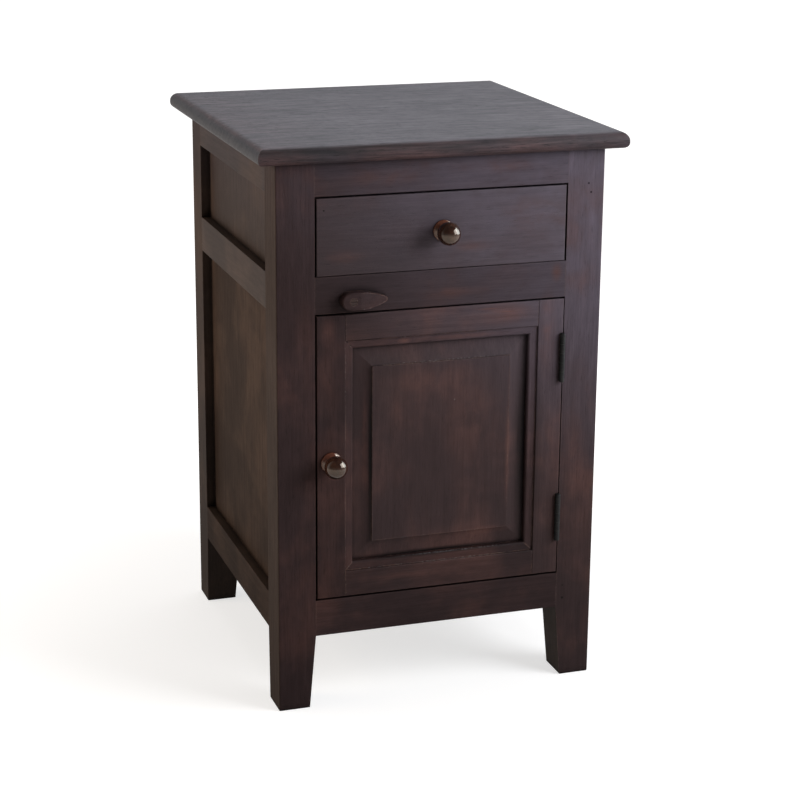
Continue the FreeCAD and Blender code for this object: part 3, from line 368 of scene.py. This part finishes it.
# Stain: share of the clouds in its blend with mottles, and blends between which it turns red or takes the
# painted window sheen
CLOUD_SHARE = 0.74
RED_RANGE = (0.58, 0.86)
RED_MOVE = 0.3
WINDOW_SHEEN_RANGE = (0.70, 0.40)
WINDOW_SHEEN_LEAST = 0.35

# Mottles that break up bare places, and how far sideways a face has to turn for the flank's painted light and
# shade
BARE_RAMP = (0.34, 0.60, 0.2, 1.0)
FLANK_FACING = (0.4, 0.9)

# Painted window sheen, lighter and cooler towards the upper right: slope of its edge, heights where it comes
# in, and the right side's share
WINDOW_SHEEN_SLOPE = 0.9
WINDOW_SHEEN_HEIGHTS = (0.34, 0.84)
RIGHT_SIDE_RAMP = (0.3, 0.9, 1.0, 0.35)

# Top: ramps over the direction of a face and the place across, for the painted shade on the nose and the
# painted sheen on the face
NOSE_FRONT_FACING = (-0.15, -0.60)
NOSE_UP_RAMP = (-0.30, 0.60, 0.30, 1.0)
NOSE_ACROSS_RAMP = (0.23, -0.20, 0.15, 0.66)
TOP_SHEEN_FACING = (0.78, 0.99)
TOP_SHEEN_ACROSS_RAMP = (-0.25, -0.08, 0.60, 1.0)

# Grain: how far each feature lightens and darkens the stain, the painted light low and high up, and the
# painted shade on the left end
FIBRE_DEPTH = 0.12
FLAME_DEPTH = 0.06
PORE_DEPTH = 0.25
CLOUD_RAMP = (0.30, 0.70, 0.88, 1.10)
LIGHT_HEIGHTS = (-0.02, 0.52)
LOW_LIGHT = 0.74
HIGH_LIGHT = 1.14
LEFT_SHADE_END = (-0.14, -0.03)

# Painted shade in corners and recesses: how near the faces are, in metres, and how dark it is
CORNER_SHADE_REACH = 0.013
CORNER_SHADE_SAMPLES = 8
CORNER_SHADE_RAMP = (0.35, 0.85, 0.28, 1.0)

# Wear: reach of an edge in metres, and strength of rubbing, chips and scuffs
EDGE_REACH = 0.0030
RUB_STRENGTH = 0.85
CHIP_STRENGTH = 0.6
SCUFF_STRENGTH = 0.07
SCUFF_PATCHES = (0.3, 0.9)

# Gloss: clouds over which the roughness changes, by how much, and what pores and rubbing add to it
GLOSS_CLOUDS = (0.2, 0.8)
GLOSS_SPREAD = 0.06
GLOSS_PORES = 0.16
GLOSS_RUBBED = 0.12

# Relief: its depth in metres, its strength, and how far each feature stands out or lies in
RELIEF_DEPTH = 0.0004
RELIEF_STRENGTH = 0.4
RELIEF_FIBRES = 0.60
RELIEF_RINGS = 0.10
RELIEF_PORES = -0.80
RELIEF_SPECKS = 0.25
RELIEF_CHIPS = -1.5


def grain_place(graph, spot, grain, seed):
    """Coordinates with the first one along the grain, moved to a stretch of wood of the board's own."""
    axes = {number: spot[axis] for number, axis in enumerate(GRAIN_ORDERS[grain])}
    turned = graph.node("CombineXYZ", axes).outputs[0]
    return graph.move(turned, tuple(seed * step for step in SEED_MOVE))


def trunk_rings(graph, place):
    """Rings of the trunk, cut along the board and bent by slow waves."""
    across = graph.split(place)
    radius = graph.length(graph.node("CombineXYZ", {1: across["Y"], 2: across["Z"]}).outputs[0])
    bent = graph.plus(radius, graph.times(graph.noise(place, *BEND_NOISE), RING_BEND))
    return graph.ramp(graph.math("SINE", graph.times(bent, RING_TURNS)), -1.0, 1.0)


class Board:
    """One board's finish and shader graph, with the coordinates and features that its layers share."""

    def __init__(self, graph, finish, box, grain, seed, marked):
        self.graph = graph
        self.finish = finish
        self.box = box
        self.marked = marked
        self.whole = graph.coordinates("Object")
        self.spot = graph.split(self.whole)
        self.facing = graph.split(graph.coordinates("Normal"))
        self.place = grain_place(graph, self.spot, grain, seed)
        self.rings = trunk_rings(graph, self.place)
        self.fibres = graph.noise(self.place, *FIBRE_NOISE)
        self.pores = graph.ramp(graph.noise(self.place, *PORE_NOISE), *PORE_RANGE)
        self.specks = graph.noise(self.place, *SPECK_NOISE)
        self.clouds = graph.noise(self.whole, *CLOUD_NOISE)
        self.mottles = graph.noise(self.place, *MOTTLE_NOISE)


def mark_share(board, kind):
    """How far a place on a front face lies inside the marks of one kind, or None on a board without any."""
    graph = board.graph
    low, high = board.box
    share = None
    for across, up, half_width, half_height, strength in MARKS[kind]:
        missed = (across + half_width < low[0] or across - half_width > high[0]
                  or up + half_height < low[2] or up - half_height > high[2])
        if missed or not board.marked:
            continue
        beside = graph.move(board.whole, (-across, -low[1], -up))
        away = graph.length(graph.stretch(beside, (1 / half_width, 1 / MARK_DEPTH, 1 / half_height)))
        inside = graph.ramp(away, *MARK_EDGES[kind], 0.0, strength)
        share = inside if share is None else graph.most(share, inside)
    if share is None:
        return None
    return graph.times(share, graph.ramp(board.facing["Y"], *MARK_FACING))


def window_sheen_share(board):
    """0 low on the left, towards 1 high on the right, as the share of painted window sheen; less on the right
    side.
    """
    graph = board.graph
    height = graph.plus(board.spot["Z"], graph.times(board.spot["X"], WINDOW_SHEEN_SLOPE))
    lit = graph.ramp(height, *WINDOW_SHEEN_HEIGHTS)
    return graph.times(lit, graph.ramp(board.facing["X"], *RIGHT_SIDE_RAMP))


def nose_shade_and_top_sheen(board, colour):
    """Colour with painted shade on the front edge, most at the left, and with painted sheen on faces turned
    up.
    """
    graph = board.graph
    nose = graph.product([graph.ramp(board.facing["Y"], *NOSE_FRONT_FACING),
                          graph.ramp(board.facing["Z"], *NOSE_UP_RAMP),
                          graph.ramp(board.spot["X"], *NOSE_ACROSS_RAMP)])
    # Painted shade on the nose, most at the left
    colour = graph.mix(nose, colour, HOLE_AND_SHADE_BLACK)
    # Painted sheen on faces turned up, less towards the left
    share = graph.times(graph.ramp(board.spot["X"], *TOP_SHEEN_ACROSS_RAMP),
                        graph.ramp(board.facing["Z"], *TOP_SHEEN_FACING))
    return graph.mix(share, colour, board.finish.painted_top_sheen)


def stain_colour(board):
    """Clouds of the stain, wiped over the joints of the finished piece and since then rubbed, with painted
    window sheen and painted light and shade on flanks and top.
    """
    graph = board.graph
    finish = board.finish
    blend = graph.weighted((board.clouds, CLOUD_SHARE), (board.mottles, 1.0 - CLOUD_SHARE))
    reds = [end - RED_MOVE * finish.redness for end in RED_RANGE]
    colour = graph.mix(graph.ramp(blend, *reds), finish.dark, finish.red)
    # Painted light and shade on faces turned sideways
    if finish.painted_flank_light:
        sideways = graph.math("ABSOLUTE", board.facing["X"])
        colour = graph.mix(graph.ramp(sideways, *FLANK_FACING), colour, finish.painted_flank_light)
    # Painted window sheen, lighter and cooler towards the upper right
    window_sheen = graph.ramp(blend, *WINDOW_SHEEN_RANGE, WINDOW_SHEEN_LEAST * finish.fade, finish.fade)
    colour = graph.mix(graph.times(window_sheen_share(board), window_sheen), colour, STAIN_PAINTED_SHEEN)
    bare = mark_share(board, "bare")
    if bare is not None:
        colour = graph.mix(graph.times(bare, graph.ramp(board.mottles, *BARE_RAMP)), colour, STAIN_BARE)
    return nose_shade_and_top_sheen(board, colour) if finish.painted_top_sheen else colour


def shaded_colour(board, colour):
    """Colour with the grain in it, the board's tone with painted light that is less low down, and painted
    shade at left ends and in corners.
    """
    graph = board.graph
    finish = board.finish
    flames = graph.noise(board.place, *FLAME_NOISE)
    # Painted shade in corners and recesses, from ambient occlusion
    corner_shade = graph.node("AmbientOcclusion", {"Distance": CORNER_SHADE_REACH}, samples=CORNER_SHADE_SAMPLES).outputs["AO"]
    factors = [
        graph.swing(board.rings, 0.0, 1.0, finish.ringed * finish.figure),
        graph.swing(board.fibres, *FIBRE_RANGE, FIBRE_DEPTH * finish.figure),
        graph.ramp(board.pores, 0.0, 1.0, 1.0, 1.0 - PORE_DEPTH * finish.figure),
        graph.swing(flames, *FLAME_RANGE, FLAME_DEPTH * finish.figure),
        graph.ramp(board.clouds, *CLOUD_RAMP),
        # The board's tone, with painted light that is less low down
        graph.ramp(board.spot["Z"], *LIGHT_HEIGHTS, LOW_LIGHT * finish.tone, HIGH_LIGHT * finish.tone),
    ]
    # Painted shade towards the left end
    if finish.painted_left_shade is not None:
        factors.append(graph.ramp(board.spot["X"], *LEFT_SHADE_END, finish.painted_left_shade / finish.tone, 1.0))
    factors.append(graph.ramp(corner_shade, *CORNER_SHADE_RAMP))
    shade = graph.product(factors)
    grey = graph.node("CombineColor", {0: shade, 1: shade, 2: shade}).outputs[0]
    return graph.mix(1.0, colour, grey, "MULTIPLY")


def worn_colour(board, colour):
    """Colour with edges worn in patches, chipped and scuffed, and how far a place is rubbed and chipped."""
    graph = board.graph
    finish = board.finish
    edge = edge_share(graph, EDGE_REACH)
    patch = graph.ramp(graph.noise(board.place, *PATCH_NOISE), *PATCH_RANGE)
    rubbed = graph.times(graph.times(edge, patch), RUB_STRENGTH * finish.wear, clamp=True)
    colour = graph.mix(rubbed, colour, finish.worn)
    chipped = graph.times(edge, graph.ramp(board.specks, *SPECK_RANGE))
    colour = graph.mix(graph.times(chipped, CHIP_STRENGTH * finish.wear, clamp=True), colour, STAIN_CHIP)
    scuffs = graph.ramp(graph.noise(board.place, *SCUFF_NOISE), *SCUFF_RANGE)
    scuffed = graph.times(scuffs, graph.ramp(patch, *SCUFF_PATCHES))
    colour = graph.mix(graph.times(scuffed, SCUFF_STRENGTH), colour, finish.worn)
    return colour, rubbed, chipped


def marked_colour(board, colour):
    """Colour with painted shadows in gaps and beside steps, broken lines of chips with one line of painted
    highlight, and holes that the front shows.
    """
    graph = board.graph
    flecks = graph.ramp(graph.noise(board.place, *FLECK_NOISE), *FLECK_RANGE)
    # Painted shadow, chips with a painted highlight, and holes
    layers = (("painted_shadow", HOLE_AND_SHADE_BLACK, 1.0), ("chips_and_highlight", STAIN_CHIP, flecks), ("hole", HOLE_AND_SHADE_BLACK, 1.0))
    for kind, shown, broken in layers:
        share = mark_share(board, kind)
        if share is not None:
            colour = graph.mix(graph.times(share, broken), colour, shown)
    return colour


def make_wood(node, finish, grain, seed, marked):
    """Stained wood for one node, under a coat of polish."""
    material, graph = new_material(f"{node}_wood")
    board = Board(graph, finish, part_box(node), grain, seed, marked)
    colour, rubbed, chipped = worn_colour(board, shaded_colour(board, stain_colour(board)))
    colour = marked_colour(board, colour)
    smooth = finish.roughness - GLOSS_SPREAD
    dull = finish.roughness + GLOSS_SPREAD
    gloss = graph.plus(graph.ramp(board.clouds, *GLOSS_CLOUDS, smooth, dull),
                       graph.weighted((board.pores, GLOSS_PORES), (rubbed, GLOSS_RUBBED)))
    relief = graph.weighted((board.fibres, RELIEF_FIBRES), (board.rings, RELIEF_RINGS),
                            (board.pores, RELIEF_PORES), (board.specks, RELIEF_SPECKS),
                            (chipped, RELIEF_CHIPS))
    strength = min(RELIEF_STRENGTH * finish.figure, 1.0)
    bump = graph.node("Bump", {"Strength": strength, "Distance": RELIEF_DEPTH, "Height": relief}).outputs[0]
    shader = graph.node("BsdfPrincipled", {"Base Color": colour, "Roughness": gloss, "Normal": bump,
                                           "Specular IOR Level": 0.0, "Coat Weight": finish.sheen,
                                           "Coat Roughness": finish.roughness, "Coat IOR": finish.refraction,
                                           "Coat Normal": bump})
    graph.node("OutputMaterial", {0: shader.outputs[0]})
    return material


# Metal

METAL_EDGE_REACH = 0.0012
METAL_RELIEF_DEPTH = 0.0002
# Octaves, roughness and distortion of the skin's clouds and of its fine grain, which is so many times finer
SKIN_CLOUDS = (4.0, 0.6, 0.0)
SKIN_GRAIN = (3.0, 0.6, 0.0)
SKIN_FINENESS = 14.0
SKIN_SHARE = 0.7
SKIN_RANGE = (0.35, 0.68)
# Values of the fine grain, and the shares of the metal's roughness that they take
SKIN_GLOSS = (0.3, 0.7)
SKIN_GLOSS_SHARES = (0.8, 1.3)
# Places from front to back, in metres, between which a knob's flange takes its colour
FLANGE_RANGE = (-0.216, -0.207)


def make_metal(name, dark, bright, roughness, metallic, skin_scale, relief, rub, shine=0.5, flange=None,
               tint=WHITE):
    """Metal with a cloudy skin, rubbed brighter at its edges. A flange colour shows close to the front of the
    case, and tint colours the highlights."""
    material, graph = new_material(name)
    place = graph.coordinates("Object")
    clouds = graph.noise(place, skin_scale, *SKIN_CLOUDS)
    fine = graph.noise(place, skin_scale * SKIN_FINENESS, *SKIN_GRAIN)
    skin = graph.ramp(graph.weighted((clouds, SKIN_SHARE), (fine, 1.0 - SKIN_SHARE)), *SKIN_RANGE)
    share = graph.plus(skin, graph.times(edge_share(graph, METAL_EDGE_REACH), rub), clamp=True)
    colour = graph.mix(share, dark, bright)
    if flange:
        colour = graph.mix(graph.ramp(graph.split(place)["Y"], *FLANGE_RANGE), colour, flange)
    gloss = graph.ramp(fine, *SKIN_GLOSS, *(roughness * part for part in SKIN_GLOSS_SHARES))
    bump = graph.node("Bump", {"Strength": relief, "Distance": METAL_RELIEF_DEPTH, "Height": fine}).outputs[0]
    shader = graph.node("BsdfPrincipled", {"Base Color": colour, "Roughness": gloss, "Normal": bump,
                                           "Metallic": metallic, "Specular IOR Level": shine,
                                           "Specular Tint": tint})
    graph.node("OutputMaterial", {0: shader.outputs[0]})
    return material


METALS = {
    "bronze": make_metal("lacquered_bronze", BRONZE_DARK, BRONZE_BRIGHT, roughness=0.09, metallic=0.0,
                         skin_scale=70.0, relief=0.06, rub=0.5, shine=0.54, flange=BRONZE_FLANGE,
                         tint=BRONZE_SHINE),
    "black_iron": make_metal("black_iron", IRON_DARK, IRON_WORN, roughness=0.50, metallic=0.0,
                             skin_scale=160.0, relief=0.35, rub=0.6, shine=0.12),
    "steel": make_metal("dull_steel", STEEL_DARK, STEEL_BRIGHT, roughness=0.38, metallic=1.0,
                        skin_scale=220.0, relief=0.25, rub=0.4),
}
RUST = make_metal("browned_steel", RUST_DARK, RUST_BRIGHT, roughness=0.50, metallic=0.2,
                  skin_scale=220.0, relief=0.30, rub=0.4, shine=0.2)


# Material of every node: metal by the record's slot, or wood with its own grain and stretch of trunk

def grain_of(node):
    if node in ALONG_X:
        return "x"
    return "y" if node in ALONG_Y else "z"


def dress(node, material):
    for slot in frame["nodes"][node].material_slots:
        slot.material = material


SLOTS = {row["node"]: row["material_slot"] for row in frame["record"]["subparts"]}
for number, node in enumerate(sorted(frame["nodes"])):
    if SLOTS[node] in METALS:
        dress(node, METALS[SLOTS[node]])
        continue
    plain = STAINED if SLOTS[node] == "stained_wood" else INNER
    seed = FIRST_SEED + number * SEED_STEP
    dress(node, make_wood(node, FINISHES.get(node, plain), grain_of(node), seed, marked=node in FRONT))
dress("turn_button_screw", RUST)


# Floor, world, lamps and camera

FLOOR_COLOUR = (0.52, 0.51, 0.50, 1)
FLOOR_RADIUS = 9.0
FLOOR_CORNERS = 96
# Distances from the middle in metres, and the glow of the floor at each
FLOOR_GLOW = (0.30, 1.20, 0.66, 1.0)
FILL_COLOUR = (1.0, 0.95, 0.90, 1)
FILL_STRENGTH = 0.25
# Colour of the room, and brightness of its front and of its horizon, as mirror images show them
ROOM_COLOUR = (0.88, 0.94, 1.0, 1)
ROOM_SHARE = 0.08
HORIZON_SHARE = 0.42
# Directions: where the room lightens towards the back, how it darkens upwards, and where the horizon ends
ROOM_DEPTH = (-0.45, 0.25)
ROOM_SLOPE = 0.35
HORIZON_RISE = (0.45, 0.0)


def background_rays(graph):
    """1 for rays that show the background: first those seen straight or through glass, then mirrored too."""
    path = graph.node("LightPath").outputs
    straight = graph.most(path["Is Camera Ray"], path["Is Transmission Ray"])
    return straight, graph.most(straight, path["Is Glossy Ray"])


def make_floor():
    """Pale floor that shows as white, with the object's shadow on it."""
    bpy.ops.mesh.primitive_circle_add(vertices=FLOOR_CORNERS, radius=FLOOR_RADIUS, fill_type="NGON")
    floor = bpy.context.object
    floor.name = "studio_floor"
    material, graph = new_material("pale_floor")
    plain = graph.node("BsdfDiffuse", {"Color": FLOOR_COLOUR}).outputs[0]
    strength = graph.ramp(graph.length(graph.coordinates("Object")), *FLOOR_GLOW)
    glow = graph.node("Emission", {"Color": WHITE, "Strength": strength}).outputs[0]
    lifted = graph.node("AddShader", {0: plain, 1: glow}).outputs[0]
    shown_rays = background_rays(graph)[1]
    shown = graph.node("MixShader", {0: shown_rays, 1: plain, 2: lifted}).outputs[0]
    graph.node("OutputMaterial", {0: shown})
    floor.data.materials.append(material)


def make_world():
    """White as background, a room darker in front and above in mirror images, and soft warm fill."""
    world = bpy.data.worlds.new("studio")
    bpy.context.scene.world = world
    world.use_nodes = True
    graph = Graph(world.node_tree)
    fill = graph.node("Background", {"Color": FILL_COLOUR, "Strength": FILL_STRENGTH}).outputs[0]
    straight, shown_rays = background_rays(graph)
    towards = graph.split(graph.coordinates("Generated"))
    away = graph.minus(towards["Y"], graph.times(towards["Z"], ROOM_SLOPE))
    room = graph.ramp(away, *ROOM_DEPTH, ROOM_SHARE, 1.0)
    horizon = graph.ramp(towards["Z"], *HORIZON_RISE, 0.0, HORIZON_SHARE)
    strength = graph.most(straight, graph.most(room, horizon))
    colour = graph.mix(straight, ROOM_COLOUR, WHITE)
    backdrop = graph.node("Background", {"Color": colour, "Strength": strength}).outputs[0]
    shown = graph.node("MixShader", {0: shown_rays, 1: fill, 2: backdrop}).outputs[0]
    graph.node("OutputWorld", {0: shown})


def make_lamp(name, place, target, width, height, power, colour, diffuse=True, glossy=True):
    """Soft lamp, in metres and watts. Without diffuse it makes only highlights, without glossy only fill."""
    data = bpy.data.lights.new(name, "AREA")
    data.shape = "RECTANGLE"
    data.size = width
    data.size_y = height
    data.energy = power
    data.color = colour
    lamp = bpy.data.objects.new(name, data)
    lamp.visible_camera = False
    lamp.visible_diffuse = diffuse
    lamp.visible_glossy = glossy
    lamp.location = place
    lamp.rotation_euler = (Vector(target) - Vector(place)).to_track_quat("-Z", "Y").to_euler()
    bpy.context.scene.collection.objects.link(lamp)


def make_camera():
    data = bpy.data.cameras.new("photo_camera")
    data.sensor_width = CAMERA_SENSOR
    data.lens = CAMERA_LENS
    data.shift_y = CAMERA_SHIFT_UP
    camera = bpy.data.objects.new("photo_camera", data)
    camera.location = CAMERA_PLACE
    look = Euler((math.radians(90 - CAMERA_DIP), 0, math.radians(CAMERA_TURN)))
    roll = Euler((0, 0, math.radians(CAMERA_ROLL)))
    camera.rotation_euler = (look.to_matrix() @ roll.to_matrix()).to_euler()
    bpy.context.scene.collection.objects.link(camera)
    bpy.context.scene.camera = camera


make_floor()
make_world()
WINDOW_PLACE = (1.70, -1.40, 1.35)
WINDOW_TARGET = (0.0, -0.2, 0.42)
WINDOW_COLOUR = (0.92, 0.95, 1.0)
make_lamp("window", WINDOW_PLACE, WINDOW_TARGET, width=1.4, height=1.5, power=62.0, colour=WINDOW_COLOUR)
make_lamp("catch_light", WINDOW_PLACE, WINDOW_TARGET, width=1.2, height=1.5, power=45.0, colour=WINDOW_COLOUR,
          diffuse=False)
make_lamp("side_window", (2.1, -0.1, 1.25), (0.0, -0.2, 0.6), width=2.6, height=1.8, power=135.0,
          colour=(0.86, 0.95, 1.0), diffuse=False)
make_lamp("sky", (0.2, 0.7, 2.2), (0.0, 0.0, 0.6), width=1.4, height=1.4, power=13.0,
          colour=(0.88, 0.93, 1.0))
make_lamp("room", (-2.4, 0.5, 0.95), (-0.2, 0.0, 0.38), width=1.6, height=1.6, power=32.0,
          colour=(1.0, 0.86, 0.70), glossy=False)
make_camera()
bpy.context.scene.view_settings.view_transform = "Standard"
